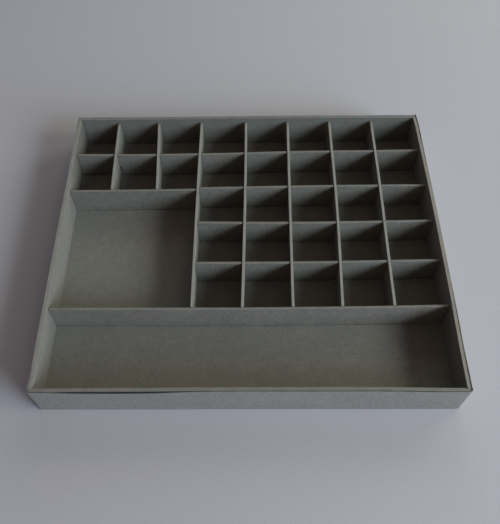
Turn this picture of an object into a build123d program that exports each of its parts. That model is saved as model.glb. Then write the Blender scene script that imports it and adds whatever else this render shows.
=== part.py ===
from build123d import *
import math
import os

# An open sorting tray in greyboard: a wide card well along the front, a square well at the left,
# and a grid of small cells, parted by strips of board that cross in half-lap slots.
# +X is right, +Y is back, +Z is up, and the origin is in the middle of the underside.

# Boards and tape, thicknesses in millimetres
divider_board = 2.0
wall_board = 2.5
base_board = 2.0
wrap_card = 0.6
stay_tape = 0.3

# Compartments, clear sizes
left_cell_width = 34.8
right_cell_width = 37.0
cell_depth = 37.5
card_well_depth = 65.0

# How many cells stand left and right of the square well's wall, behind it and beside it
left_columns = 3
right_columns = 5
back_rows = 2
side_rows = 3

# Heights: the column dividers, how much lower the row dividers are, and how far the wall boards
# stand over the columns and over the outer wrap
column_height = 26.8
rows_below_columns = 0.7
rim_over_columns = 3.8
wrap_below_rim = 0.3

# Corner tape under the outer wrap
stay_leg = 22.0
stay_below_rim = 1.2

# The outer wrap is one strip of card, folded at three corners, with its joint at the back right.
# It stands clear of the table, its front panel bows out most at one place left of the middle, its
# two front folds stand off the boards, and the end that covers the joint reaches past the back.
wrap_lift = 0.3
wrap_front_bow = 1.0
wrap_bow_place = -95.0
wrap_left_slack = 0.6
wrap_right_slack = 1.2
wrap_end_overhang = 1.4
wrap_joint_gap = 0.2

# Clearances: at a divider's ends, and on each side of a board in its half-lap slot
end_gap = 0.3
slot_gap = 0.2

# The dividers were set by hand, so each stands a little off its even place.
# Columns from left to right, the shift in X at the back end and at the front end
column_shifts = [
    (-1.6, 0.1),
    (-1.5, 2.0),
    (0.8, 0.0),
    (2.9, -0.3),
    (1.9, -1.1),
    (1.6, -2.0),
    (0.4, -2.3),
]
# Rows from back to front and from left to right, the shift in Y at the left end and at the right
# end. The second and third stand in one row of the grid, left and right of the square well's wall.
row_shifts = [
    (-0.4, 2.4),
    (-2.0, -1.3),
    (0.4, 1.6),
    (2.3, 2.3),
    (1.8, 2.8),
    (-0.5, 0.6),
]

# Worked out from the values above
column_count = left_columns + right_columns - 1
row_count = back_rows + side_rows
inner_width = (
    left_columns * left_cell_width
    + right_columns * right_cell_width
    + column_count * divider_board
)
inner_depth = row_count * (cell_depth + divider_board) + card_well_depth
walls_width = inner_width + 2 * wall_board
walls_depth = inner_depth + 2 * wall_board
cavity_width = walls_width + 2 * stay_tape
cavity_depth = walls_depth + 2 * stay_tape
tray_width = cavity_width + 2 * wrap_card + wrap_left_slack + wrap_right_slack
tray_depth = cavity_depth + 2 * wrap_card + wrap_front_bow + wrap_end_overhang
row_height = column_height - rows_below_columns
tray_height = base_board + column_height + rim_over_columns
wrap_top = tray_height - wrap_below_rim
fold_radius = stay_tape
stay_top = tray_height - stay_below_rim
half_lap = base_board + row_height / 2
slot_width = divider_board + 2 * slot_gap
back_wall = inner_depth / 2
right_wall = inner_width / 2


def block(width, depth, bottom, top, x=0.0, y=0.0):
    """A square-cornered solid centred on x, y, from one height to another."""
    solid = Box(width, depth, top - bottom, align=(Align.CENTER, Align.CENTER, Align.MIN))
    return Pos(x, y, bottom) * solid


def cavity_block(bottom, top):
    """A solid that fills the wrap from one height to another, with its corners in the folds."""
    return Pos(0, 0, bottom) * extrude(
        RectangleRounded(cavity_width, cavity_depth, fold_radius), amount=top - bottom
    )


def standing_board(start, end, thickness, bottom, top):
    """A board on its edge, whose middle line runs from start to end."""
    run_x = end[0] - start[0]
    run_y = end[1] - start[1]
    turn = math.degrees(math.atan2(run_y, run_x))
    middle = Pos((start[0] + end[0]) / 2, (start[1] + end[1]) / 2, 0)
    return middle * Rot(0, 0, turn) * block(math.hypot(run_x, run_y), thickness, bottom, top)


def between(place, low, high, at_low, at_high):
    """The value at a place on the straight line from (low, at_low) to (high, at_high)."""
    return at_low + (at_high - at_low) * (place - low) / (high - low)


# Even places of the dividers


def even_x(column):
    """Middle of a column divider, before its shift."""
    left_cells = min(column, left_columns)
    right_cells = column - left_cells
    cells = left_cells * left_cell_width + right_cells * right_cell_width
    return -right_wall + cells + (column - 0.5) * divider_board


def even_y(place):
    """Middle of the row dividers at a place in the grid, before their shift."""
    return back_wall - place * cell_depth - (place - 0.5) * divider_board


# The line that each divider follows. Dividers are numbered from 1.


def strips():
    """The row dividers from back to front and from left to right. Each has its place in the grid,
    the column that it starts at and the column that it stops at, where None is a side wall."""
    found = []
    for place in range(1, row_count + 1):
        if place == back_rows:
            found.append((place, None, left_columns))
        beside_the_well = back_rows <= place < row_count
        found.append((place, left_columns if beside_the_well else None, None))
    return found


row_strips = strips()
last_row = len(row_strips)


def shifts_of(number, shifts):
    """The pair of shifts of a divider. Past the end of the list they repeat."""
    return shifts[(number - 1) % len(shifts)]


def row_y(row, x):
    """Y of a row divider's middle line at x."""
    place, starts_at, stops_at = row_strips[row - 1]
    x_left = even_x(starts_at) if starts_at else -right_wall
    x_right = even_x(stops_at) if stops_at else right_wall
    at_left, at_right = shifts_of(row, row_shifts)
    return even_y(place) + between(x, x_left, x_right, at_left, at_right)


def column_ends(column):
    """Back and front end of a column divider's middle line."""
    at_back, at_front = shifts_of(column, column_shifts)
    x_back = even_x(column) + at_back
    x_front = even_x(column) + at_front
    stops_at = back_rows if column < left_columns else last_row
    y_front = row_y(stops_at, x_front) + divider_board / 2 + end_gap
    return (x_back, back_wall - end_gap), (x_front, y_front)


def column_x(column, y):
    """X of a column divider's middle line at y."""
    back, front = column_ends(column)
    return between(y, front[1], back[1], front[0], back[0])


def row_ends(row):
    """Left and right end of a row divider's middle line."""
    place, starts_at, stops_at = row_strips[row - 1]
    reach = divider_board / 2 + end_gap
    x_left = -right_wall + end_gap
    x_right = right_wall - end_gap
    if starts_at:
        x_left = column_x(starts_at, even_y(place)) + reach
    if stops_at:
        x_right = column_x(stops_at, even_y(place)) - reach
    return (x_left, row_y(row, x_left)), (x_right, row_y(row, x_right))


def cross(column, row):
    """Whether the two dividers pass through each other."""
    if column <= left_columns:
        return row < back_rows
    return row != back_rows and row < last_row


# Dividers


def column_divider(column):
    """A strip with slots cut up from its lower edge, which straddle the rows."""
    start, end = column_ends(column)
    strip = standing_board(start, end, divider_board, base_board, base_board + column_height)
    for row in range(1, last_row + 1):
        if cross(column, row):
            left, right = row_ends(row)
            strip -= standing_board(left, right, slot_width, 0, half_lap)
    return strip


def row_divider(row):
    """A strip with slots cut down from its upper edge, which take the columns."""
    start, end = row_ends(row)
    strip = standing_board(start, end, divider_board, base_board, base_board + row_height)
    for column in range(1, column_count + 1):
        if cross(column, row):
            back, front = column_ends(column)
            strip -= standing_board(back, front, slot_width, half_lap, tray_height)
    return strip


# Tray


def base():
    """The board that everything stands on. It reaches the outer wrap all round."""
    return cavity_block(0, base_board)


def long_wall(side):
    """Front or back wall board, side -1 or 1, over the full width."""
    y = side * (walls_depth - wall_board) / 2
    return block(walls_width, wall_board, base_board, tray_height, y=y)


def side_wall(side):
    """Left or right wall board, side -1 or 1, between the front and back boards."""
    x = side * (walls_width - wall_board) / 2
    return block(wall_board, inner_depth, base_board, tray_height, x=x)


def wrap_line(outside):
    """The wrap's inner or outer face in plan, from its end at the back right, by the right side,
    the front and the left side, to the end of its back panel."""
    thickness = wrap_card if outside else 0.0
    side = cavity_width / 2 + thickness
    end = cavity_depth / 2 + thickness
    corners = [
        (cavity_width / 2 + thickness, cavity_depth / 2 + wrap_card + wrap_end_overhang),
        (side + wrap_right_slack, -end),
        (wrap_bow_place, -end - wrap_front_bow),
        (-side - wrap_left_slack, -end),
        (-side, end),
        (cavity_width / 2 - wrap_joint_gap, end),
    ]
    fold = fold_radius + thickness
    return FilletPolyline(*corners, radius=[fold, 0, fold, fold])


def wrap():
    """One strip of card folded round the tray, joined at the back right corner."""
    inner = wrap_line(outside=False)
    outer = wrap_line(outside=True)
    band = make_face([inner, Line(inner @ 1, outer @ 1), outer, Line(outer @ 0, inner @ 0)])
    return Pos(0, 0, wrap_lift) * extrude(band, amount=wrap_top - wrap_lift, dir=(0, 0, 1))


def corner_stay(side_x, side_y):
    """Tape folded round a corner of the wall boards, under the outer wrap."""
    x = side_x * (cavity_width - stay_leg) / 2
    y = side_y * (cavity_depth - stay_leg) / 2
    tape = cavity_block(base_board, stay_top) - block(walls_width, walls_depth, base_board, stay_top)
    return tape & block(stay_leg, stay_leg, base_board, stay_top, x=x, y=y)


pieces = {
    "base_board": base(),
    "front_wall_board": long_wall(-1),
    "back_wall_board": long_wall(1),
    "left_wall_board": side_wall(-1),
    "right_wall_board": side_wall(1),
    "outer_wrap": wrap(),
    "corner_stay_front_left": corner_stay(-1, -1),
    "corner_stay_front_right": corner_stay(1, -1),
    "corner_stay_back_left": corner_stay(-1, 1),
    "corner_stay_back_right": corner_stay(1, 1),
}
for number in range(1, column_count + 1):
    pieces[f"column_divider_{number}"] = column_divider(number)
for number in range(1, last_row + 1):
    pieces[f"row_divider_{number}"] = row_divider(number)

os.makedirs("parts", exist_ok=True)
for name, solid in pieces.items():
    export_step(solid, f"parts/{name}.step")
print(f"tray {tray_width:.1f} x {tray_depth:.1f} x {tray_height:.1f} mm, {len(pieces)} pieces")
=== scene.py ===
# %% [markdown]
# # A sorting tray in greyboard
#
# The object is an open tray made by hand from grey bookbinding board. A base board carries four
# wall boards, paper tape holds their corners, and one long strip of card is wrapped round the
# outside. Inside stand strips of board that cross in half-lap slots. The frame holds each piece
# as a square, straight solid. This script cuts every piece again from its solid, eases its
# edges, bends it the way real board bends, and gives it the finish of pressed paper fibre.

# %% Load the frame
import bisect
import math

import bmesh
import bpy
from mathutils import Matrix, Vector, noise


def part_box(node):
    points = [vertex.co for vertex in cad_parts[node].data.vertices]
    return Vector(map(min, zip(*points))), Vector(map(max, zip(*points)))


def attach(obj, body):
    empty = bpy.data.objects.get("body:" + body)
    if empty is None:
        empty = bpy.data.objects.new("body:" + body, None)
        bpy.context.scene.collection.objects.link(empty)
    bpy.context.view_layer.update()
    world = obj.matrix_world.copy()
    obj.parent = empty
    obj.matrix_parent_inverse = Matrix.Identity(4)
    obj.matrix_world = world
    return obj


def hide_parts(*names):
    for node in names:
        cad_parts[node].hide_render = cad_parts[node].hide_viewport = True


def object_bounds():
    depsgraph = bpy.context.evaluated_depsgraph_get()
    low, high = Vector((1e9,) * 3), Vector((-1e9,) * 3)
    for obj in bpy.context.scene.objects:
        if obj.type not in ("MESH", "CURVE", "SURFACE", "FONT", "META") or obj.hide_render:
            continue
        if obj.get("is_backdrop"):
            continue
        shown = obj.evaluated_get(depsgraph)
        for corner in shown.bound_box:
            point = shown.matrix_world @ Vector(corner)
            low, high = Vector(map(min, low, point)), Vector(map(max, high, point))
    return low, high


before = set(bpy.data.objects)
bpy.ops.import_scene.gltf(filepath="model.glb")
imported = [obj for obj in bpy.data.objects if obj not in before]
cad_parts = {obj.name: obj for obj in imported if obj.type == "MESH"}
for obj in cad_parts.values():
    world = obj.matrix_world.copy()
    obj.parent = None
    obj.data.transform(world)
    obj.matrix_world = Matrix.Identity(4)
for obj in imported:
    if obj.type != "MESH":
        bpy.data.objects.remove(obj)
solids_box = [list(corner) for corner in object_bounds()]
MM = 0.001
print("solids", [[round(value / MM, 1) for value in corner] for corner in solids_box])


# %% [markdown]
# ## Colours
#
# Colours are easiest to judge as they look on a screen, from 0 to 255, but a shader works with
# light. Linear values could be written down, but they say little to the eye, so each colour is
# written as seen and made linear here.


# %% A colour as seen on a screen
def seen(red, green, blue):
    """A linear colour from screen values of 0 to 255."""
    linear = []
    for value in (red, green, blue):
        part = value / 255
        linear.append(part / 12.92 if part <= 0.04045 else ((part + 0.055) / 1.055) ** 2.4)
    return (*linear, 1.0)


print("middle grey as light", round(seen(128, 128, 128)[0], 3))

# %% [markdown]
# ## Camera
#
# The photograph was taken from in front and above, a little over half a metre away, with the
# tray slightly left of the lens axis. A camera can be placed by eye, but then the slant of every
# board would be a little off. Here the place, the turn and the focal length were found by
# matching the corners of the rim and of the wells.

# %% Camera
PICTURE = (500, 524)
LENS_PIXELS = 661.23
AXIS_PIXEL = (235.68, 268.71)
SENSOR = 36.0
CAMERA_PLACE = Vector((1.53, -315.82, 462.15)) * MM
CAMERA_TURN = (0.583070, 0.020279, 0.006363)


def added(name, data):
    """An object for a camera, a mesh or a lamp, linked to the scene."""
    thing = bpy.data.objects.new(name, data)
    bpy.context.scene.collection.objects.link(thing)
    return thing


camera = added("camera", bpy.data.cameras.new("camera"))
bpy.context.scene.camera = camera
camera.location = CAMERA_PLACE
camera.rotation_euler = CAMERA_TURN
camera.data.sensor_width = SENSOR
camera.data.lens = LENS_PIXELS / PICTURE[1] * SENSOR
camera.data.shift_x = (PICTURE[0] / 2 - AXIS_PIXEL[0]) / PICTURE[1]
camera.data.shift_y = (AXIS_PIXEL[1] - PICTURE[1] / 2) / PICTURE[1]
camera.data.clip_start = 0.01
print("lens", round(camera.data.lens, 2), "mm")

# %% [markdown]
# ## Shader sums
#
# A finish is a network of nodes, and most of it is plain arithmetic on masks. It could be
# wired by hand in the editor, but a sum of six terms is hard to read there. Written as Python
# it stays one line: a `Wire` is the number that comes out of a node, and `a * b`, `1 - a` and
# the like add the Math node that does the sum. `Finish.node` adds any other node from its type,
# its settings and what its sockets get.


# %% Wires
class Wire:
    """A number that varies over a surface. Sums of wires add Math nodes."""

    def __init__(self, finish, socket):
        self.finish = finish
        self.socket = socket

    def math(self, operation, first, second):
        node = self.finish.node("Math", {"operation": operation}, {0: first, 1: second})
        return Wire(self.finish, node.outputs[0])

    def __add__(self, other):
        return self.math("ADD", self, other)

    def __sub__(self, other):
        return self.math("SUBTRACT", self, other)

    def __rsub__(self, other):
        return self.math("SUBTRACT", other, self)

    def __mul__(self, other):
        return self.math("MULTIPLY", self, other)

    __radd__ = __add__
    __rmul__ = __mul__

    def size(self):
        """The value without its sign."""
        return self.math("ABSOLUTE", self, 0.0)

    def rise(self, low, high):
        """0 at low and under, 1 at high and over, with a soft step between."""
        settings = {"interpolation_type": "SMOOTHSTEP"}
        sockets = {"Value": self, "From Min": low, "From Max": high}
        node = self.finish.node("MapRange", settings, sockets)
        return Wire(self.finish, node.outputs["Result"])


# %% Finishes
MIXED_COLOUR = 2
BOARD_SPECULAR = 0.3
SPOT_CORE = 0.45


class Finish:
    """A material under construction."""

    def __init__(self, name):
        self.material = bpy.data.materials.new(name)
        self.material.use_nodes = True
        self.tree = self.material.node_tree
        self.shader = self.tree.nodes["Principled BSDF"]

    def node(self, kind, settings=None, sockets=None):
        """A node of a type, with its settings made first and then its sockets set or linked."""
        node = self.tree.nodes.new("ShaderNode" + kind)
        for key, value in (settings or {}).items():
            setattr(node, key, value)
        for key, value in (sockets or {}).items():
            self.feed(node, key, value)
        return node

    def feed(self, node, key, value):
        """Gives a socket, named by its name, its number or its identifier, a value or a link."""
        by_name = {socket.identifier: socket for socket in node.inputs}
        socket = node.inputs[key] if isinstance(key, int) or key in node.inputs else by_name[key]
        if isinstance(value, Wire):
            self.tree.links.new(value.socket, socket)
        elif isinstance(value, bpy.types.NodeSocket):
            self.tree.links.new(value, socket)
        else:
            socket.default_value = value

    def place(self):
        """Where a point is on the object, in metres."""
        return self.node("TexCoord").outputs["Object"]

    def on_board(self):
        """Where a point is on its own board: along it, through it and down from its top edge."""
        return self.node("Attribute", {"attribute_name": "board"}).outputs["Vector"]

    def parts(self, vector):
        """The three numbers of a vector, as wires."""
        node = self.node("SeparateXYZ", None, {0: vector})
        return [Wire(self, socket) for socket in node.outputs]

    def stretched(self, vector, scale, turn=(0.0, 0.0, 0.0), shift=(0.0, 0.0, 0.0)):
        """A vector that is moved, turned and scaled, so that a pattern on it gets long or short."""
        sockets = {"Vector": vector, "Scale": scale, "Rotation": turn, "Location": shift}
        return self.node("Mapping", None, sockets).outputs[0]

    def clouds(self, vector, scale, detail=2.0, roughness=0.5):
        """Noise from 0 to 1 about 0.5, whose blots are about 1 / scale across."""
        sockets = {"Vector": vector, "Scale": scale, "Detail": detail, "Roughness": roughness}
        return Wire(self, self.node("TexNoise", None, sockets).outputs[0])

    def specks(self, vector, scale, share, blot):
        """1 in the middle of a few random specks. Share is how many cells of the pattern have
        one, and blot its radius in cells."""
        cells = self.node("TexVoronoi", None, {"Vector": vector, "Scale": scale, "Randomness": 1.0})
        distance = Wire(self, cells.outputs["Distance"])
        # A cell's random colour says whether it has a speck, and how big the speck is
        lot, size, _ = self.parts(cells.outputs["Color"])
        picked = 1 - lot.rise(share - 0.01, share + 0.01)
        rim = blot * (size * 0.6 + 0.7)
        return picked * (1 - distance.rise(blot * SPOT_CORE, rim))

    def spot(self, vector, centre, reach):
        """1 at a place and 0 beyond its reach, both along X, Y and Z in millimetres."""
        scale = tuple(1 / (part * MM) for part in reach)
        shift = tuple(-part / size for part, size in zip(centre, reach))
        from_centre = self.stretched(vector, scale, shift=shift)
        length = self.node("VectorMath", {"operation": "LENGTH"}, {0: from_centre})
        return 1 - Wire(self, length.outputs["Value"]).rise(SPOT_CORE, 1.0)

    def blend(self, mask, under, over):
        """One colour over another where the mask is 1."""
        sockets = {"Factor_Float": mask, "A_Color": under, "B_Color": over}
        return self.node("Mix", {"data_type": "RGBA"}, sockets).outputs[MIXED_COLOUR]

    def shaded(self, colour, amount):
        """A colour made lighter or darker by a wire that is 1 where it stays."""
        grey = self.node("CombineColor", None, {0: amount, 1: amount, 2: amount}).outputs[0]
        sockets = {"Factor_Float": 1.0, "A_Color": colour, "B_Color": grey}
        settings = {"data_type": "RGBA", "blend_type": "MULTIPLY"}
        return self.node("Mix", settings, sockets).outputs[MIXED_COLOUR]

    def relief(self, height, depth):
        """A normal for a surface whose relief is as deep as given, in metres."""
        sockets = {"Height": height, "Distance": depth, "Strength": 1.0}
        return self.node("Bump", None, sockets).outputs[0]

    def done(self, colour, roughness, normal):
        """Feeds the shader and hands the material over."""
        for key, value in (("Base Color", colour), ("Roughness", roughness), ("Normal", normal)):
            self.feed(self.shader, key, value)
        self.shader.inputs["Specular IOR Level"].default_value = BOARD_SPECULAR
        return self.material


# %% [markdown]
# ## Greyboard
#
# Greyboard is pressed from waste paper. Seen close, it is a felt of short fibres lying every
# way in the sheet, with darker and lighter flecks of old print and wood, and the sheet is
# cloudy over a few millimetres because the pulp settled unevenly. There is no gloss. Plain noise
# alone would make it look like stone. So the fibres are noise stretched long and thin and
# turned three ways in the plane of the sheet, and they need the board's own coordinates: a
# row, a column and the base lie in three planes, and patterns in the object's own X, Y and Z
# would run straight through two of them.


# %% Fibres and marks
FIBRE_TURNS = (12.0, 74.0, 131.0)
THROUGH_SHEET = 40.0


def fibre_felt(finish, board, length, width):
    """Fibres lying several ways in the plane of the sheet, about 0.5."""
    scale = (1 / length, THROUGH_SHEET, 1 / width)
    felt = 0.0
    for number, turn in enumerate(FIBRE_TURNS):
        # Each way of lying has its own part of the noise
        shift = (0.37 * number, 0.0, 0.61 * number)
        lying = finish.stretched(board, scale, (0.0, math.radians(turn), 0.0), shift)
        felt = finish.clouds(lying, 1.0, 1.0) * (1 / len(FIBRE_TURNS)) + felt
    return felt


def with_marks(finish, place, tone, marks):
    """Adds single marks, each a centre, a reach, a colour and how much of it shows."""
    for centre, reach, colour, share in marks:
        tone = finish.blend(finish.spot(place, centre, reach) * share, tone, colour)
    return tone


# %% Greyboard face
UNSHADED = 2.0  # metres below the top edge, so further down than any board reaches


def greyboard(name, colour, contrast, marks=(), shade_from=UNSHADED):
    """The pressed face of the board, with painted shade from so far below its top edge down to its
    foot.
    """
    finish = Finish(name)
    place = finish.place()
    board = finish.on_board()
    _, _, down = finish.parts(board)
    # Clouds from a few centimetres down to less than half a millimetre across. Each is 0.5 on
    # average, and the number after it in a sum says how far it goes to either side.
    blotches = finish.clouds(place, 28.0, 2.0, 0.5)
    pulp = finish.clouds(place, 170.0, 3.0, 0.6)
    felt = fibre_felt(finish, board, 1.6 * MM, 0.16 * MM)
    grain = finish.clouds(place, 2600.0, 2.0, 0.6)
    mottle = finish.clouds(place, 620.0, 1.0, 0.5)
    tint = finish.clouds(place, 95.0, 2.0, 0.6)
    fine = (pulp - 0.5) * 0.32 + (felt - 0.5) * 0.5 + (mottle - 0.5) * 0.55 + (grain - 0.5) * 0.12
    depth = 1 + (blotches - 0.5) * 0.22 + fine * contrast
    tone = finish.shaded(colour, depth)
    # Cooler pulp, flecks, the rubbed upper corner and painted shade low down, along the foot
    tone = finish.blend(tint.rise(0.46, 0.62) * 0.35, tone, COOL_PULP)
    tone = finish.blend(finish.specks(place, 420.0, 0.055, 0.17) * 0.6, tone, DARK_FLECK)
    tone = finish.blend(finish.specks(place, 610.0, 0.06, 0.16) * 0.45, tone, LIGHT_FLECK)
    rubbed = (1 - down.rise(0.1 * MM, 0.9 * MM)) * finish.clouds(place, 330.0, 2.0).rise(0.4, 0.62)
    tone = finish.blend(rubbed * 0.4, tone, BOARD_WORN)
    # Painted shade: the face darkens in a band just above its foot, where it meets the floor
    foot_shade = down.rise(shade_from - 0.7 * MM, shade_from) * (blotches.rise(0.3, 0.6) * 0.4 + 0.4)
    tone = finish.blend(foot_shade, tone, PAINTED_SHADE)
    tone = with_marks(finish, place, tone, marks)
    roughness = 0.88 + (felt - 0.5) * 0.2
    relief = felt * 0.6 + grain * 0.25 + pulp * 0.5
    return finish.done(tone, roughness, finish.relief(relief, 0.07 * MM))


# %% Greys and marks of the boards
BOARD_GREY = seen(117, 117, 108)
STRIP_GREY = seen(111, 110, 100)
# Painted light: a lighter copy of the strip grey for the front row, which the open front well
# lights
FRONT_STRIP_LIT_GREY = seen(120, 117, 107)
COOL_PULP = seen(109, 114, 106)
BOARD_WORN = seen(124, 125, 117)
DARK_FLECK = seen(74, 70, 62)
LIGHT_FLECK = seen(162, 162, 152)
# Painted shade, at the foot of the dividers, in the gap behind the card and down the front left
# fold
PAINTED_SHADE = seen(52, 50, 44)
# Painted shade for the left wall's inner face towards the back
LEFT_WALL_SHADE = seen(72, 72, 66)
# Dark scratches, and painted shade in the dark blobs at the rim's corners
SCAR_AND_SHADE = seen(28, 31, 29)
CHALK = seen(190, 192, 184)
FACE_CONTRAST = {"base": 0.95, "wall": 1.0, "strip": 1.45}
# The dividers get painted shade from so far below their top edge down to their foot
STRIP_SHADE_FROM = 25.9 * MM

# Each mark is a centre and a reach in millimetres, a colour, and how much of it shows
DIVIDER_MARKS = [
    ((-114.5, 91.3, 12.2), (1.0, 1.5, 3.0), SCAR_AND_SHADE, 1.0),
    ((-113.9, 91.3, 9.0), (0.9, 1.5, 2.2), SCAR_AND_SHADE, 0.9),
    ((-4.1, -66.7, 27.2), (0.6, 1.0, 0.5), CHALK, 0.5),
    ((-1.1, -66.7, 25.4), (0.6, 1.0, 0.5), SCAR_AND_SHADE, 0.5),
    ((-110.9, -66.7, 17.1), (0.6, 1.0, 0.6), SCAR_AND_SHADE, 0.55),
]
WALL_MARKS = [
    ((-151.7, -68.0, 12.0), (1.2, 0.5, 3.4), SCAR_AND_SHADE, 0.75),
    ((-151.7, -67.0, 9.6), (1.2, 0.6, 2.2), CHALK, 0.45),
    ((-151.7, -66.6, 18.5), (1.2, 0.4, 6.0), CHALK, 0.25),
    # Painted shade: darkens the left wall's inner face in the back cells
    ((-151.5, 100.0, 20.0), (4.0, 52.0, 40.0), LEFT_WALL_SHADE, 0.48),
]
base_face = greyboard("greyboard_base_face", BOARD_GREY, FACE_CONTRAST["base"])
# The pressed face and the cut edge of each wall board. The greys differ as painted light and shade:
# the back face is darker and the right edge lighter, for the light that reaches each side.
WALL_GREYS_WITH_PAINTED_LIGHT = {
    "front": (seen(114, 114, 106), seen(119, 117, 107)),
    "back": (seen(104, 104, 96), seen(117, 118, 112)),
    "left": (seen(116, 114, 105), seen(122, 120, 110)),
    "right": (seen(114, 114, 106), seen(129, 125, 113)),
}
wall_faces = {
    side: greyboard(f"greyboard_{side}_face", face, FACE_CONTRAST["wall"], WALL_MARKS)
    for side, (face, _) in WALL_GREYS_WITH_PAINTED_LIGHT.items()
}
strip_finish = (FACE_CONTRAST["strip"], DIVIDER_MARKS, STRIP_SHADE_FROM)
divider_face = greyboard("greyboard_divider_face", STRIP_GREY, *strip_finish)
front_strip_lit_face = greyboard("greyboard_front_strip_lit_face", FRONT_STRIP_LIT_GREY, *strip_finish)
print("greyboard", len(divider_face.node_tree.nodes), "nodes")

# %% [markdown]
# ## Cut edges
#
# A cut edge looks different from a face. The knife lays the plies open, so it shows fine
# streaks that run along the board, fuzzy and a little lighter than the pressed skin, and the
# corners between edge and face are rubbed pale by fingers and cards. One finish could carry
# both with a mask, but the edges are what the eye follows across the tray, so they get a
# material of their own.


# %% Cut edge
def cut_edge(name, colour, dark_ply, worn, half_board, marks=()):
    """The knife-cut edge of a board."""
    finish = Finish(name)
    place = finish.place()
    board = finish.on_board()
    _, through, _ = finish.parts(board)
    plies = finish.clouds(finish.stretched(board, (70.0, 1900.0, 1900.0)), 1.0, 3.0, 0.65)
    fuzz = finish.clouds(place, 1500.0, 2.0, 0.6)
    patches = finish.clouds(place, 120.0, 2.0)
    depth = 1 + (patches - 0.5) * 0.3 + (fuzz - 0.5) * 0.3
    tone = finish.shaded(colour, depth)
    tone = finish.blend(plies.rise(0.48, 0.66) * 0.5, tone, dark_ply)
    corner = through.size().rise(half_board - 0.45 * MM, half_board)
    tone = finish.blend(corner * patches.rise(0.35, 0.6) * 0.5, tone, worn)
    tone = finish.blend(finish.specks(place, 520.0, 0.05, 0.2) * 0.6, tone, DARK_FLECK)
    tone = with_marks(finish, place, tone, marks)
    relief = plies * 0.6 + fuzz * 0.6
    return finish.done(tone, 0.92 + (fuzz - 0.5) * 0.12, finish.relief(relief, 0.09 * MM))


# %% Edges of the boards
ROW_EDGE_GREY = seen(118, 117, 108)
COLUMN_EDGE_GREY = seen(143, 144, 134)
PLY_GREY = seen(100, 99, 90)
EDGE_WORN = seen(134, 134, 124)
# Half of each thickness: the rubbed corners lie so far from the middle of an edge
HALF_WALL = 1.25 * MM
HALF_STRIP = 1.0 * MM
HALF_CARD = 0.3 * MM

# Painted shade at the rim's corners: dark blobs at the front right and the back right, where the
# card stands off the boards, and a dark band down the front left fold
CORNER_SHADE_MARKS = [
    ((151.2, -132.0, 32.5), (1.3, 1.2, 1.5), SCAR_AND_SHADE, 0.8),
    ((155.6, -133.1, 32.3), (1.7, 1.7, 1.6), SCAR_AND_SHADE, 0.85),
    ((153.0, 135.2, 32.4), (2.4, 1.9, 1.8), SCAR_AND_SHADE, 0.9),
    ((-154.6, -134.4, 13.0), (2.1, 2.8, 28.0), PAINTED_SHADE, 0.7),
]
# Painted shade darkens the card's top edge and the board behind it along the gap at the front
GAP_SHADE_MARKS = [((-92.0, -135.3, 32.0), (60.0, 1.2, 3.5), PAINTED_SHADE, 0.9)]
wall_edges = {
    side: cut_edge(f"greyboard_{side}_edge", rim, PLY_GREY, EDGE_WORN, HALF_WALL, CORNER_SHADE_MARKS)
    for side, (_, rim) in WALL_GREYS_WITH_PAINTED_LIGHT.items()
}
EDGE_MARKS = [
    ((-5.57, 15.0, 28.4), (0.7, 0.7, 1.2), CHALK, 0.7),
    ((112.7, 16.0, 28.8), (1.0, 0.9, 1.0), SCAR_AND_SHADE, 0.6),
    ((112.7, -24.1, 28.8), (1.0, 0.9, 1.0), SCAR_AND_SHADE, 0.5),
    ((0.8, -22.6, 28.1), (0.6, 0.8, 1.0), CHALK, 0.45),
    ((5.2, -22.6, 28.1), (0.7, 0.8, 1.0), CHALK, 0.4),
]
strip_cut = (PLY_GREY, EDGE_WORN, HALF_STRIP, EDGE_MARKS)
row_edge = cut_edge("greyboard_row_edge", ROW_EDGE_GREY, *strip_cut)
column_edge = cut_edge("greyboard_column_edge", COLUMN_EDGE_GREY, *strip_cut)
print("edges", len(wall_edges) + 2, "with", len(row_edge.node_tree.nodes), "nodes in each strip's")


# %% [markdown]
# ## Card and tape
#
# The outer wrap is a thin, denser card with a smoother skin. It is a shade bluer than the boards,
# slightly satin, and rubbed at its top edge. The tape behind it is plain brown-grey paper.
# Greyboard with less contrast comes close, but card has fewer flecks and a finer felt, so it has
# a function of its own, which the tape shares.


# %% Card and tape
def smooth_card(name, colour, worn, marks=()):
    """The calendered face of thin card."""
    finish = Finish(name)
    place = finish.place()
    board = finish.on_board()
    _, _, down = finish.parts(board)
    blotches = finish.clouds(place, 22.0, 2.0, 0.5)
    pulp = finish.clouds(place, 240.0, 2.0, 0.55)
    felt = fibre_felt(finish, board, 1.2 * MM, 0.14 * MM)
    mottle = finish.clouds(place, 560.0, 1.0, 0.5)
    coarse = 1 + (blotches - 0.5) * 0.16 + (pulp - 0.5) * 0.2
    depth = coarse + (felt - 0.5) * 0.3 + (mottle - 0.5) * 0.6
    tone = finish.shaded(colour, depth)
    tone = finish.blend(finish.specks(place, 480.0, 0.04, 0.15) * 0.5, tone, DARK_FLECK)
    rubbed = (1 - down.rise(0.0, 0.8 * MM)) * finish.clouds(place, 260.0, 2.0).rise(0.35, 0.6)
    tone = finish.blend(rubbed * 0.5, tone, worn)
    tone = with_marks(finish, place, tone, marks)
    roughness = 0.72 + (pulp - 0.5) * 0.2
    return finish.done(tone, roughness, finish.relief(felt * 0.6 + pulp * 0.4, 0.04 * MM))


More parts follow.
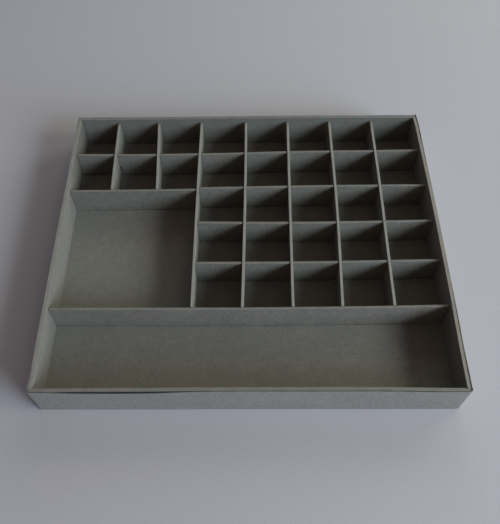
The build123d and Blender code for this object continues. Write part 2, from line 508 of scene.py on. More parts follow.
WRAP_GREY = seen(135, 133, 127)
WRAP_WORN = seen(144, 143, 137)
WRAP_EDGE_GREY = seen(126, 128, 125)
WRAP_PLY = seen(104, 104, 100)
wrap_face = smooth_card("outer_card_face", WRAP_GREY, WRAP_WORN, CORNER_SHADE_MARKS)
card_cut = (WRAP_PLY, EDGE_WORN, HALF_CARD, CORNER_SHADE_MARKS + GAP_SHADE_MARKS)
wrap_edge = cut_edge("outer_card_edge", WRAP_EDGE_GREY, *card_cut)
TAPE_BROWN = seen(138, 130, 112)
TAPE_WORN = seen(150, 142, 124)
tape_face = smooth_card("stay_tape_face", TAPE_BROWN, TAPE_WORN)
print("card", len(wrap_face.node_tree.nodes), "nodes")

# %% [markdown]
# ## Cutting a board again
#
# A solid from the frame comes as loose triangles with perfectly sharp edges. A board could be
# built anew from a box, but then every slot would be worked out twice. So a copy of the solid is
# merged, its flat faces are made whole again, and every edge is eased with a narrow bevel, as
# the knife and handling leave it. Then planes cut the board into short lengths, because a face
# with no points in it can't bend. Subdividing would do that too, but it also puts points where
# none are needed.

# %% Copy a solid and ease its edges
SHARP = math.radians(30)
FLAT = math.radians(0.5)
MERGED = 0.001 * MM
ON_PLANE = 0.0005 * MM


def board_from(node):
    """A mesh under construction, copied from a solid, with its flat faces whole."""
    board = bmesh.new()
    board.from_mesh(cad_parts[node].data)
    bmesh.ops.remove_doubles(board, verts=board.verts, dist=MERGED)
    bmesh.ops.dissolve_limit(board, angle_limit=FLAT, verts=board.verts, edges=board.edges)
    bmesh.ops.recalc_face_normals(board, faces=board.faces)
    return board


def sharp_edges(board):
    """The edges between faces that meet at a clear angle."""
    return [edge for edge in board.edges if edge.is_manifold and edge.calc_face_angle() > SHARP]


def ease_edges(board, width, rounds=2):
    """A narrow bevel on every sharp edge."""
    bmesh.ops.bevel(
        board,
        geom=sharp_edges(board),
        offset=width,
        offset_type="OFFSET",
        segments=rounds,
        profile=0.5,
        affect="EDGES",
        clamp_overlap=True,
        material=-1,
    )


def slice_board(board, through, normal, within=None):
    """Cuts faces where a plane passes, so that the board can bend there. Within picks the faces."""
    if within is None:
        cut = board.verts[:] + board.edges[:] + board.faces[:]
    else:
        faces = [face for face in board.faces if within(face)]
        picked = set(faces)
        cut = [vert for vert in board.verts if picked.intersection(vert.link_faces)]
        cut += [edge for edge in board.edges if picked.intersection(edge.link_faces)]
        cut += faces
    bmesh.ops.bisect_plane(board, geom=cut, dist=ON_PLANE, plane_co=through, plane_no=normal)


def steps(low, high, spacing):
    """Places between two ends, about as far apart as given, without the ends."""
    count = max(1, round((high - low) / spacing))
    return [low + (high - low) * number / count for number in range(1, count)]


sample = board_from("row_divider_1")
print("row divider 1 has", len(sample.faces), "whole faces and", len(sharp_edges(sample)), "edges")
sample.free()

# %% [markdown]
# ## A board's own coordinates
#
# Each board keeps its own coordinates in an attribute called `board`, written while it is
# still straight: along its run, through its thickness and down from its top edge. The finishes
# read it, so fibres and plies bend with the board. A UV map could do this, but it has only two
# numbers and needs seams.

# %% Finish a piece
FACE, EDGE = 0, 1
PRESSED = 0.95
CREASE = math.radians(20)


def run_of(board):
    """Middle of a straight board and the direction of its longest edge, level."""
    longest = max(board.edges, key=lambda edge: edge.calc_length())
    along = longest.verts[1].co - longest.verts[0].co
    along.z = 0.0
    along.normalize()
    if abs(along.x) > abs(along.y):
        along *= math.copysign(1.0, along.x)
    else:
        along *= math.copysign(1.0, along.y)
    low = Vector([min(vert.co[axis] for vert in board.verts) for axis in range(3)])
    high = Vector([max(vert.co[axis] for vert in board.verts) for axis in range(3)])
    return (low + high) / 2, along, low.z, high.z


def write_coordinates(board, reading):
    """Stores each point's place on its own board."""
    layer = board.verts.layers.float_vector.new("board")
    for vert in board.verts:
        vert[layer] = reading(vert.co)


def mark_faces(board, through):
    """Faces that look along the thickness are pressed faces, the rest are cut edges."""
    for face in board.faces:
        pressed = abs(face.normal.dot(through)) > PRESSED
        face.material_index = FACE if pressed else EDGE


def finish_piece(board, name, node, body, finishes):
    """Turns a board into an object that stands for its solid."""
    for face in board.faces:
        face.smooth = True
    for edge in board.edges:
        edge.smooth = not edge.is_manifold or edge.calc_face_angle() < CREASE
    mesh = bpy.data.meshes.new(name)
    board.to_mesh(mesh)
    board.free()
    piece = added(name, mesh)
    for finish in finishes:
        mesh.materials.append(finish)
    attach(piece, body)
    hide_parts(node)
    print(name, len(mesh.polygons), "faces")


# %% [markdown]
# ## How the dividers bend
#
# The strips are long, thin and pushed into place by hand, so none is quite straight. Where a
# row and a column cross, both have to bend by the same amount, or one would cut through the
# other's slot. A Curve modifier on each strip would bend each one alone, and they would clash.
# So the bends are one field over the plan of the tray: each row gives a push in Y along its
# length, each column a push in X, and between two neighbours the push fades from one to the
# other. It is nothing at the walls.

# %% Bends of the strips
# Each pair is a place along the strip, from 0 to 1, and how far it stands off its straight line
# there in millimetres. Rows run from left to right, with a push to the back, and columns from
# back to front, with a push to the right.
ROW_BENDS = {
    1: [
        (0.0, 1.0), (0.1, 0.3), (0.2, -0.3), (0.42, -0.5),
        (0.55, 0.1), (0.68, 0.5), (0.82, 0.1), (1.0, 0.0),
    ],
    2: [(0.0, 0.1), (0.5, -0.1), (1.0, 0.0)],
    3: [(0.0, -0.2), (0.3, 0.2), (0.55, 0.4), (0.8, 0.2), (1.0, -0.1)],
    4: [(0.0, 0.6), (0.25, -0.2), (0.5, -0.5), (0.72, -0.1), (1.0, 0.8)],
    5: [(0.0, 0.3), (0.3, -0.2), (0.5, -0.3), (0.75, 0.1), (1.0, 0.5)],
    6: [(0.0, 0.7), (0.2, 0.2), (0.5, -0.4), (0.8, -0.1), (0.95, 0.5), (1.0, 0.7)],
}
COLUMN_BENDS = {
    1: [(0.0, 0.2), (0.5, -0.1), (1.0, 0.0)],
    2: [(0.0, 0.0), (0.5, 0.1), (1.0, 0.0)],
    3: [(0.0, 0.2), (0.3, -0.2), (0.55, -0.2), (0.8, -0.1), (1.0, 0.0)],
    4: [(0.0, -0.2), (0.3, 0.2), (0.7, 0.1), (1.0, -0.3)],
    5: [(0.0, 0.0), (0.5, -0.1), (1.0, 0.0)],
    6: [(0.0, -0.7), (0.15, -0.3), (0.3, 0.3), (0.5, 0.6), (0.7, 0.3), (0.9, -0.4), (1.0, -0.7)],
    7: [(0.0, -0.3), (0.3, 0.2), (0.5, 0.3), (0.7, 0.0), (1.0, -0.2)],
}


def smooth_through(points, place):
    """The value at a place on a smooth curve through a few points."""
    places = [point[0] for point in points]
    last = len(points) - 1
    start = min(max(bisect.bisect(places, place) - 1, 0), last - 1)

    def slope(number):
        before, after = max(number - 1, 0), min(number + 1, last)
        return (points[after][1] - points[before][1]) / (places[after] - places[before])

    span = places[start + 1] - places[start]
    part = min(max((place - places[start]) / span, 0.0), 1.0)
    rest = 1 - part
    from_start = points[start][1] * (1 + 2 * part) * rest**2
    from_end = points[start + 1][1] * (3 - 2 * part) * part**2
    leaning = span * part * rest * (slope(start) * rest - slope(start + 1) * part)
    return from_start + from_end + leaning


print("row 1 at its middle", round(smooth_through(ROW_BENDS[1], 0.5), 3), "mm")


# %% The line of a strip
class Strip:
    """The straight line of a divider in plan, and its bend."""

    def __init__(self, node, bends, backwards):
        board = board_from(node)
        self.node = node
        self.middle, self.along, self.bottom, self.top = run_of(board)
        reach = [(vert.co - self.middle).dot(self.along) for vert in board.verts]
        self.low, self.high = min(reach), max(reach)
        self.bends = bends
        self.backwards = backwards
        board.free()

    def across_at(self, value, axis):
        """The other coordinate of the straight line where it has a value on one axis."""
        other = 1 - axis
        run = (value - self.middle[axis]) / self.along[axis]
        return self.middle[other] + run * self.along[other]

    def push(self, value, axis):
        """How far the strip stands off its straight line, in metres."""
        run = (value - self.middle[axis]) / self.along[axis]
        place = (run - self.low) / (self.high - self.low)
        if self.backwards:
            place = 1 - place
        return smooth_through(self.bends, min(max(place, 0.0), 1.0)) * MM


rows = {
    number: Strip(f"row_divider_{number}", bends, False) for number, bends in ROW_BENDS.items()
}
columns = {
    number: Strip(f"column_divider_{number}", bends, True) for number, bends in COLUMN_BENDS.items()
}
print("strips", len(rows), "rows and", len(columns), "columns")

# %% One field of bends over the plan
# The third column is the right wall of the square well. Rows end or begin at it, so the rows on
# its left and on its right are looked up apart, each list from front to back.
WELL_COLUMN = 3
WELL_FADE = 1.0 * MM
LEFT_ROWS = (6, 2, 1)
RIGHT_ROWS = (6, 5, 4, 3, 1)
inside = [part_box("left_wall_board")[1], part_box("right_wall_board")[0]]
inside_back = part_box("back_wall_board")[0].y
inside_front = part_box("front_wall_board")[1].y


def between_strips(strips, value, across, axis, low, high):
    """The push at a point between the strips on either side of it."""
    lines = [(low, 0.0)]
    lines += [(strip.across_at(value, axis), strip.push(value, axis)) for strip in strips]
    lines += [(high, 0.0)]
    for (near, near_push), (far, far_push) in zip(lines, lines[1:]):
        if across <= far:
            part = max(0.0, (across - near) / (far - near))
            return near_push + (far_push - near_push) * part
    return 0.0


def plan_push(x, y):
    """How far a point of the dividers is pushed in X and in Y."""
    pushed = between_strips(columns.values(), y, x, 1, inside[0].x, inside[1].x)
    well_line = columns[WELL_COLUMN].across_at(y, 1)
    side = min(max((x - well_line) / WELL_FADE, -1.0), 1.0) / 2 + 0.5
    left = between_strips([rows[n] for n in LEFT_ROWS], x, y, 0, inside_front, inside_back)
    right = between_strips([rows[n] for n in RIGHT_ROWS], x, y, 0, inside_front, inside_back)
    return pushed, left * (1 - side) + right * side


print("push at the middle", [round(value / MM, 2) for value in plan_push(0.0, 0.0)])

# %% [markdown]
# ## Dividers
#
# On the real tray each strip was cut with a knife along a ruler and pushed down into place.
# Here it is copied from its solid, eased, and sliced every few millimetres along its length and
# more closely near its top edge, which is what the eye follows. Besides the bend, each has a
# slight ripple through its thickness, and its top edge isn't quite level. A Displace modifier
# could add the ripple, but would thicken and thin the board. This noise moves both faces
# together.

# %% Make the dividers
ARRIS = 0.16 * MM
RIPPLE = 0.07 * MM
TOP_UNEVEN = 0.07 * MM
FOOT_GAP = 0.8 * MM
MOSTLY_OFF = 0.75
# How far from its top edge or its foot a board is uneven, and how long the waves are
NEAR_TOP = 2.5 * MM
NEAR_FOOT = 1.2 * MM
STRIP_STEP = 3.0 * MM
STRIP_SLICES = (0.5, 1.2, 2.4, 5.0, 9.0, 13.0, 17.0, 21.0, 24.0)
RIPPLE_WAVE = 22 * MM
STRIP_TOP_WAVE = 13 * MM
FOOT_WAVE = 31 * MM
SEED_STEP = 7.31
TOP_SEED, FOOT_SEED = 50, 90
RIGHT, BACK, UP = Vector((1, 0, 0)), Vector((0, 1, 0)), Vector((0, 0, 1))


def ripple(seed, along, down, wave):
    """Smooth noise between about -1 and 1, for a board with a seed of its own."""
    return noise.noise(Vector((along / wave, down / wave, seed * SEED_STEP)))


def divider(strip, name, body, seed, finishes):
    """A row or column divider, bent and finished."""
    board = board_from(strip.node)
    through = Vector((-strip.along.y, strip.along.x, 0.0))
    height = strip.top - strip.bottom
    ease_edges(board, ARRIS)
    for run in steps(strip.low, strip.high, STRIP_STEP):
        slice_board(board, strip.middle + strip.along * run, strip.along)
    for down in STRIP_SLICES:
        slice_board(board, UP * (strip.top - down * MM), UP)
    mark_faces(board, through)

    def reading(point):
        offset = point - strip.middle
        return (offset.dot(strip.along) + seed, offset.dot(through), strip.top - point.z)

    write_coordinates(board, reading)
    layer = board.verts.layers.float_vector["board"]
    for vert in board.verts:
        along, _, down = vert[layer]
        push = Vector((*plan_push(vert.co.x, vert.co.y), 0.0))
        vert.co += push + through * RIPPLE * ripple(seed, along, down, RIPPLE_WAVE)
        near_top = max(0.0, 1 - down / NEAR_TOP)
        unlevel = 1 + ripple(seed + TOP_SEED, along, 0, STRIP_TOP_WAVE)
        vert.co.z -= TOP_UNEVEN * near_top * unlevel
        near_foot = max(0.0, 1 - (height - down) / NEAR_FOOT)
        off_floor = MOSTLY_OFF + ripple(seed + FOOT_SEED, along, 0, FOOT_WAVE)
        vert.co.z += FOOT_GAP * near_foot * min(1.0, max(0.0, off_floor))
    finish_piece(board, name, strip.node, body, finishes)


# %% Rows and columns
FIRST_COLUMN_SEED = 10
for number, strip in rows.items():
    # The front row gets the lighter copy of the finish, as painted light
    finishes = [front_strip_lit_face if number == len(rows) else divider_face, row_edge]
    divider(strip, f"greyboard_row_{number}", "row_dividers", number, finishes)
for number, strip in columns.items():
    name = f"greyboard_column_{number}"
    divider(strip, name, strip.node, FIRST_COLUMN_SEED + number, [divider_face, column_edge])

# %% [markdown]
# ## Base and walls
#
# The base board lies flat. It stays as it is but for its eased edges and rounded front corners.
# The wall boards are held by the base at their feet only, so their top edges lean. The back and
# the right side bow outwards along their middle, the front stands out at both ends, and the left
# side leans inwards just before the front corner, where it springs out again. A lattice round
# the tray could lean it, but its few points can't follow that corner. So each side has a list of
# places and leans with a smooth curve through them, and walls, tape and wrap lean together.

# %% How far the walls lean
# Pairs of a place in millimetres and how far the top edge stands out there. Front and back run
# from left to right, the sides from front to back. The two sides were cut a little out of square,
# so their top edges slope to the right.
LEANS = {
    "front": [
        (-156, 0.8), (-140, 0.7), (-120, 0.46), (-100, 0.38), (-80, 0.34), (-40, 0.1), (0, 0.0),
        (80, 0.05), (100, 0.15), (120, 0.5), (140, 0.85), (156, 0.85),
    ],
    "back": [(-156, 1.15), (60, 1.2), (105, 0.5), (146, 0.0), (156, 0.0)],
    "left": [
        (-134.6, 0.9), (-132.5, 0.3), (-129, -0.2), (-124, -0.4), (-117, -0.45), (-108, -0.25),
        (-98, -0.05), (-60, 0.05), (-20, 0.3), (20, 0.2), (60, 0.1), (134, 0.0),
    ],
    "right": [
        (-134.6, 0.4), (-130, 0.15), (-95, 0.3), (-55, 0.95), (-5, 1.25), (25, 1.25), (60, 1.0),
        (95, 0.5), (112, 0.3), (124, 0.0), (134, -0.8), (136, -0.9),
    ],
}
SLOPES = {"left": 0.55 * MM, "right": 0.3 * MM}
SIDES = {"front": (1, -1), "back": (1, 1), "left": (0, -1), "right": (0, 1)}
CORNER_ROUND = 2.1 * MM
NEAR_FOLD = [reach * MM for reach in (0.35, 0.9, 1.5, 2.2, 2.9)]
TAPE = 0.3 * MM
NEAR_CORNER = 30 * MM
wall_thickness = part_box("left_wall_board")[1].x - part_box("left_wall_board")[0].x
half_x, half_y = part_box("base_board")[1].xy
shell_top = solids_box[1][2]
print("front leans out", LEANS["front"][0][1], "mm at its left end")


# %% Lean a point of the shell
def soft_step(value, low, high):
    """0 up to low, 1 from high, smooth between. Low may be above high."""
    part = min(max((value - low) / (high - low), 0.0), 1.0)
    return part * part * (3 - 2 * part)


def crushed(point, layer):
    """Rounds the front corners of the shell, for a point at most so deep in it as its layer."""
    side = 1 if point.x > 0 else -1
    round_to = CORNER_ROUND + layer
    from_end = TAPE + CORNER_ROUND
    middle = Vector((side * (half_x - from_end), -half_y + from_end))
    out = Vector((side * (point.x - middle.x), middle.y - point.y))
    if out.x <= 0 or out.y <= 0 or out.length <= round_to:
        return point
    spoke = out.normalized() * round_to
    return Vector((middle.x + side * spoke.x, middle.y - spoke.y, point.z))


def stand_out(point, gaps=None, held=1.0):
    """The move of a point of the shell, from how far each side near it leans or springs out."""
    height = min(max(point.z / shell_top, 0.0), 1.0)
    move = Vector((0.0, 0.0, 0.0))
    for side, (axis, sign) in SIDES.items():
        place = point[1 - axis] / MM
        out = smooth_through(LEANS[side], place) * height
        if gaps:
            out += smooth_through(gaps[side], place) * held
        reach = (half_x, half_y)[axis]
        near = soft_step(sign * point[axis], reach - NEAR_CORNER, reach - wall_thickness)
        move[axis] += sign * out * near * MM
    return move


rim_corner = Vector((-half_x, -half_y, shell_top))
print("front left corner moves", [round(part / MM, 2) for part in stand_out(rim_corner)], "mm")

# %% Base board
BELOW_ANY_EDGE = 1.0  # metres, keeps the base clear of what the finish does near a top edge


def base_board():
    """The board underneath."""
    node = "base_board"
    low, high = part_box(node)
    board = board_from(node)
    ease_edges(board, ARRIS)
    for reach in NEAR_FOLD:
        slice_board(board, BACK * (reach - half_y), BACK)
        for side in (-1, 1):
            slice_board(board, RIGHT * (side * (half_x - reach)), RIGHT)
    mark_faces(board, UP)
    middle = (low.z + high.z) / 2
    write_coordinates(board, lambda point: (point.x, point.z - middle, point.y + BELOW_ANY_EDGE))
    for vert in board.verts:
        vert.co = crushed(vert.co, TAPE)
    finishes = [base_face, wall_edges["front"]]
    finish_piece(board, "greyboard_base", node, "tray", finishes)


base_board()

# %% Wall boards
WALL_STEP = 4.0 * MM
WALL_SLICES = (0.5, 1.2, 2.4, 5.0, 10.0, 15.0, 20.0, 25.0)
WALL_END_SLICES = (0.9, 2.2, 3.6, 5.5, 8.0, 11.0)
FRONT_DEPTH_SLICES = (0.35, 0.8, 1.3, 1.9)
WALL_TOP_WAVE = 17 * MM
FIRST_WALL_SEED = 30


def wall(side, seed):
    """One of the four wall boards."""
    node = f"{side}_wall_board"
    board = board_from(node)
    middle, _, _, top = run_of(board)
    low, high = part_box(node)
    runs_back = high.x - low.x < high.y - low.y
    along = BACK if runs_back else RIGHT
    half = ((high - low) / 2).dot(along)
    through = Vector((-along.y, along.x, 0.0))
    ease_edges(board, ARRIS)
    ends = [half - reach * MM for reach in WALL_END_SLICES]
    for run in steps(-half, half, WALL_STEP) + ends + [-run for run in ends]:
        slice_board(board, middle + along * run, along)
    for down in WALL_SLICES:
        slice_board(board, UP * (top - down * MM), UP)
    if side == "front":
        for depth in FRONT_DEPTH_SLICES:
            slice_board(board, BACK * (low.y + depth * MM), BACK)
    mark_faces(board, through)

    def reading(point):
        offset = point - middle
        return (offset.dot(along) + seed, offset.dot(through), top - point.z)

    write_coordinates(board, reading)
    layer = board.verts.layers.float_vector["board"]
    for vert in board.verts:
        run, _, down = vert[layer]
        near_top = max(0.0, 1 - down / NEAR_TOP)
        unlevel = 1 + ripple(seed + TOP_SEED, run, 0, WALL_TOP_WAVE)
        vert.co.z -= TOP_UNEVEN * near_top * unlevel
        if side in SLOPES:
            vert.co.z -= SLOPES[side] * near_top * (vert.co.x - low.x) / wall_thickness
        vert.co = crushed(vert.co, 0.0)
        vert.co += stand_out(vert.co)
    finishes = [wall_faces[side], wall_edges[side]]
    finish_piece(board, f"greyboard_{side}_wall", node, "tray", finishes)


for seed, side in enumerate(("front", "back", "left", "right"), FIRST_WALL_SEED):
    wall(side, seed)


# %% [markdown]
# ## Outer wrap
#
# The wrap is one strip of thin card, folded at three corners and joined at the fourth. It is
# glued near the bottom and springs off the boards towards its top edge, most of all near the
# left of the front, where a dark gap shows. The solid has straight panels that stand for this.
# A sheet laid over the walls by a Shrinkwrap modifier would follow them too closely to leave
# the gap. Here each panel of the solid's copy is first laid against the boards, the front folds
# are rounded, and then a smooth line in plan says how far the top edge stands off. The glue
# holds it back further down.

# %% How far the wrap stands off
# Pairs of a place in millimetres and the gap there at the top edge. FLUSH runs along the whole
# strip from its end at the back right: 0 leaves the top edge as high as the solid's, 1 lifts it
# almost to the rim, and under 0 it dips.
GAPS = {
    "front": [
        (-156, 0.1), (-140, 0.24), (-120, 0.5), (-100, 0.6), (-80, 0.63), (-60, 0.5), (-40, 0.3),
        (-20, 0.12), (0, 0.06), (60, 0.12), (100, 0.2), (120, 0.22), (140, 0.1), (156, 0.0),
    ],
    "back": [(-156, 0.0), (-128, 0.0), (-110, -0.34), (90, -0.34), (128, 0.0), (156, 0.0)],
    "left": [(-135, 0.05), (-125, 0.0), (-108, -0.34), (100, -0.34), (120, 0.0), (134, 0.0)],
    "right": [
        (-135, 0.3), (-120, 0.3), (-100, 0.05), (-80, 0.1), (-60, -0.15), (-35, -0.34), (50, -0.34),
        (85, -0.1), (105, 0.1), (120, 0.3), (136, 0.4),
    ],
}
FLUSH = [
    (0, 1.0), (10, 0.5), (20, 0.0), (330, 0.0), (350, -0.6), (400, -0.6), (450, -0.3),
    (475, -1.6), (490, -2.0), (530, -2.0), (552, -0.8), (572, 0.2), (590, 0.3), (610, 0.9),
    (1130, 0.9), (1155, 0.6),
]
CARD = 0.6 * MM
FOLD_ROUND = CORNER_ROUND + TAPE + CARD
END_KEPT = 0.8  # how much of the solid's overhanging end shows
wrap_low, wrap_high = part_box("outer_wrap")
FRONT_BOW = -half_y - CARD - wrap_low.y
BOW_PLACE = -95 * MM
NEAR_FACE = 0.05 * MM
print("solid wrap bows out", round(FRONT_BOW / MM, 2), "mm")


# %% Lay the card against the boards
def solid_gap(point):
    """How far the solid's straight panels stand off the boards at a point of the front panel, or
    of a side panel."""
    if point.y < -half_y + NEAR_FACE:
        end = wrap_low.x if point.x < BOW_PLACE else wrap_high.x
        return FRONT_BOW * (point.x - end) / (BOW_PLACE - end)
    if point.x > half_x - NEAR_FACE:
        return (wrap_high.x - half_x - CARD) * (wrap_high.y - point.y) / (wrap_high.y + half_y)
    if point.x < -half_x + NEAR_FACE:
        return (-wrap_low.x - half_x - CARD) * (half_y - point.y) / (2 * half_y)
    return 0.0


def against_boards(point):
    """Where a point of the wrap is once the solid's slack and bow are taken out."""
    gap = solid_gap(point)
    x, y, z = point
    if y < -half_y + NEAR_FACE:
        end = wrap_high.x if x > 0 else -wrap_low.x
        return Vector((x * (half_x + CARD) / end, y + gap, z))
    if abs(x) > half_x - NEAR_FACE:
        x -= math.copysign(gap, x)
    return Vector((x, y, z))


def round_fold(point, side):
    """Rounds a front fold of the card, which is softer than a crease. Side is -1 or 1."""
    middle = Vector((side * (half_x + CARD - FOLD_ROUND), -half_y - CARD + FOLD_ROUND))
    out = Vector((side * (point.x - middle.x), middle.y - point.y))
    if out.x <= 0 or out.y <= 0:
        return point
    from_outside = FOLD_ROUND - max(out.x, out.y)
    depth = 0.0 if from_outside < CARD / 2 else CARD
    spoke = out.normalized() * (FOLD_ROUND - depth)
    return Vector((middle.x + side * spoke.x, middle.y - spoke.y, point.z))


bowed = Vector((BOW_PLACE, wrap_low.y, 0.0))
print("laid back at the bow", round((against_boards(bowed) - bowed).y / MM, 2), "mm")


# %% Wrap
FOOT_ROUND = 2.2 * MM
TOP_WAVE = 0.12 * MM
CARD_ARRIS = 0.1 * MM
CARD_STEP = 6 * MM
CARD_SLICES = (0.9, 1.8, 3.0, 6.0, 10.0, 15.0, 20.0, 25.0, 29.0, 31.0, 31.8)
CARD_NEAR_TOP = 3 * MM
CARD_WAVE = 24 * MM
FOOT_LIFT = 0.6
LYING = 0.5
JUST_PAST = 0.01 * MM
GLUED, SPRUNG = 1.5 * MM, 25 * MM
HELD_AT_FOOT = 0.2
NEAREST_RIM = 0.9
CARD_SEED = 71
BELOW_RIM = shell_top - wrap_high.z


def card_wrap():
    """The strip of card round the outside."""
    node = "outer_wrap"
    board = board_from(node)
    ease_edges(board, CARD_ARRIS, 1)
    near_ends = [half_y - reach for reach in NEAR_FOLD] + [reach - half_y for reach in NEAR_FOLD]
    for y in steps(-half_y, half_y, CARD_STEP) + near_ends:
        slice_board(board, BACK * y, BACK)
    for x in steps(-half_x, half_x, CARD_STEP):
        slice_board(board, RIGHT * x, RIGHT)

    def at_front(face):
        return all(vert.co.y < -half_y + NEAR_FOLD[-1] + JUST_PAST for vert in face.verts)

    for reach in NEAR_FOLD:
        for x in (wrap_low.x + CARD + reach, wrap_high.x - CARD - reach):
            slice_board(board, RIGHT * x, RIGHT, at_front)
    for height in CARD_SLICES:
        slice_board(board, UP * (height * MM), UP)
    for face in board.faces:
        face.material_index = EDGE if abs(face.normal.z) > LYING else FACE
    for vert in board.verts:
        vert.co = against_boards(vert.co)

    def reading(point):
        """Along the strip from its end at the back right, by the right side and the front."""
        near_x = half_x - abs(point.x)
        near_y = half_y - abs(point.y)
        if near_x < near_y:
            run = half_y - point.y if point.x > 0 else 3 * half_y + 2 * half_x + point.y
        elif point.y < 0:
            run = 2 * half_y + half_x - point.x
        else:
            run = 4 * half_y + 3 * half_x + point.x
        return (run, min(near_x, near_y) + CARD / 2, wrap_high.z - point.z)

    write_coordinates(board, reading)
    layer = board.verts.layers.float_vector["board"]
    fold = Vector((half_x + CARD, -half_y - CARD))
    for vert in board.verts:
        along, _, down = vert[layer]
        if vert.co.y < 0:
            vert.co = round_fold(vert.co, 1 if vert.co.x > 0 else -1)
        held = HELD_AT_FOOT + (1 - HELD_AT_FOOT) * soft_step(vert.co.z, GLUED, SPRUNG)
        near_top = max(0.0, 1 - down / CARD_NEAR_TOP)
        near_fold = soft_step((vert.co.xy - fold).length, FOOT_ROUND * 2, 0)
        foot = near_fold * soft_step(vert.co.z, FOOT_ROUND, 0)
        rise = min(smooth_through(FLUSH, along / MM), 1.0) * BELOW_RIM * NEAREST_RIM
        past_back = max(0.0, vert.co.y - half_y - CARD)
        vert.co.y -= past_back * (1 - END_KEPT)
        vert.co += stand_out(vert.co, GAPS, held)
        wave = TOP_WAVE * (1 + ripple(CARD_SEED, along, 0, CARD_WAVE)) / 2
        vert.co.z += near_top * (rise - wave)
        vert.co.z += FOOT_ROUND * FOOT_LIFT * foot
    finish_piece(board, "card_outer_wrap", node, "tray", [wrap_face, wrap_edge])


card_wrap()


# %% [markdown]
# ## Corner tape
#
# Paper tape is glued round each corner of the wall boards before the wrap goes on. Hardly any of
# it shows, only a line where the card stands off. It could be painted on the walls, but it is a
# layer of its own in the gap behind the card. So its solids are dressed too, and they lean as
# the walls do.

# %% Tape
TAPE_STEP = 4 * MM


def tape(corner):
    """Paper tape folded round one corner of the wall boards."""
    node = f"corner_stay_{corner}"
    low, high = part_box(node)
    board = board_from(node)
    near_ends = [half_x - reach for reach in NEAR_FOLD] + [reach - half_x for reach in NEAR_FOLD]
    for x in steps(low.x, high.x, TAPE_STEP) + near_ends:
        slice_board(board, RIGHT * x, RIGHT)
    for y in steps(low.y, high.y, TAPE_STEP) + [reach - half_y for reach in NEAR_FOLD]:
        slice_board(board, BACK * y, BACK)
    write_coordinates(board, lambda point: (point.x + point.y, 0.0, high.z - point.z))
    for vert in board.verts:
        inner = max(abs(vert.co.x) - half_x, abs(vert.co.y) - half_y) < -TAPE / 2
        if vert.co.y < 0:
            vert.co = crushed(vert.co, 0.0 if inner else TAPE)
        vert.co += stand_out(vert.co)
    finish_piece(board, f"tape_{corner}", node, "tray", [tape_face])


for corner in ("front_left", "front_right", "back_left", "back_right"):
    tape(corner)

# %% [markdown]
# ## Table
#
# The tray stands on a plain pale table. A square with a nearly even paint is enough, because
# only the tray's shadow has to show on it. It is far wider than the picture, so that from above
# its edge stays out of view.

# %% Table
TABLE_COLOUR = seen(178, 178, 180)
TABLE_REACH = 3.0


def table():
    """A wide plain surface under the tray."""
    surface = bmesh.new()
    bmesh.ops.create_grid(surface, x_segments=1, y_segments=1, size=TABLE_REACH)
    mesh = bpy.data.meshes.new("table")
    surface.to_mesh(mesh)
    surface.free()
    piece = added("table", mesh)
    finish = Finish("table_paint")
    place = finish.place()
    drift = finish.clouds(place, 3.0, 2.0)
    grain = finish.clouds(place, 520.0, 2.0)
    tone = finish.shaded(TABLE_COLOUR, 1 + (drift - 0.5) * 0.06 + (grain - 0.5) * 0.14)
    roughness = 0.7 + (drift - 0.5) * 0.1
    mesh.materials.append(finish.done(tone, roughness, finish.relief(grain, 0.01 * MM)))
    piece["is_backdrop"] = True


table()
print("table", 2 * TABLE_REACH, "m wide")

# %% [markdown]
# ## Light
#
# The tray is lit by a window, deep in a room. A picture of a room's light wrapped round the
# scene could do this, but single lamps can be set one at a time against the shadows that the
# boards throw. A wide cool lamp at the front right and a narrower high one beside it are the
# window. Weaker lamps at the right and at the back are the light that the walls throw back, and
# a weak warm light from all round is the rest of the room.


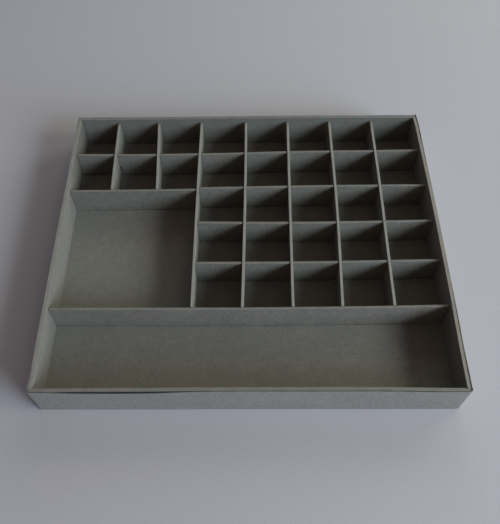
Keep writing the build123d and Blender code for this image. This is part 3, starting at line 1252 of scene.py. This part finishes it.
# %% Lamps
def lamp(name, around, above, distance, width, power, colour):
    """A square soft lamp that looks at the tray. Around is degrees from the right towards the
    back, above is degrees over the table, distance and width are metres and power is watts."""
    turn, lift = math.radians(around), math.radians(above)
    level = math.cos(lift)
    direction = Vector((level * math.cos(turn), level * math.sin(turn), math.sin(lift)))
    data = bpy.data.lights.new(name, "AREA")
    data.shape = "SQUARE"
    data.size = width
    data.energy = power
    data.color = colour
    placed = added(name, data)
    placed.location = direction * distance
    placed.rotation_euler = direction.to_track_quat("Z", "Y").to_euler()


lamp("window_front", -38, 23, 2.6, 1.2, 69.8, (0.67, 0.795, 0.985))
lamp("window_right", -12, 34, 1.7, 0.5, 8.3, (1.0, 0.97, 0.84))
lamp("wall_right", 35, 25, 1.7, 0.8, 7.4, (0.88, 0.86, 0.86))
lamp("wall_back", 75, 35, 2.0, 0.8, 4.2, (1.0, 0.93, 0.5))
lamp("sky_back", 90, 20, 3.2, 2.0, 22.0, (0.3, 0.62, 1.0))
print("lamps", [light.name for light in bpy.data.lights])

# %% Room
ROOM_COLOUR = (0.172, 0.13, 0.124, 1.0)
FAR_COLOUR = seen(176, 177, 182)
world = bpy.data.worlds.new("room")
bpy.context.scene.world = world
world.use_nodes = True
room = world.node_tree.nodes["Background"]
path = world.node_tree.nodes.new("ShaderNodeLightPath")
sky = world.node_tree.nodes.new("ShaderNodeMix")
sky.data_type = "RGBA"
sky_sockets = {socket.identifier: socket for socket in sky.inputs}
sky_sockets["A_Color"].default_value = ROOM_COLOUR
sky_sockets["B_Color"].default_value = FAR_COLOUR
world.node_tree.links.new(path.outputs["Is Camera Ray"], sky_sockets["Factor_Float"])
world.node_tree.links.new(sky.outputs[MIXED_COLOUR], room.inputs["Color"])
room.inputs["Strength"].default_value = 1.0
bpy.context.scene.view_settings.view_transform = "Standard"
print("room light", [round(part, 3) for part in ROOM_COLOUR[:3]])

# %% [markdown]
# ## Sizes
#
# Last, the box round the solids and the box round the finished pieces are printed side by side.
# A finished piece may never reach past its solids.

# %% Sizes and the end
visual_box = [list(corner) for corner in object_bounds()]
print("visual", [[round(value / MM, 1) for value in corner] for corner in visual_box])
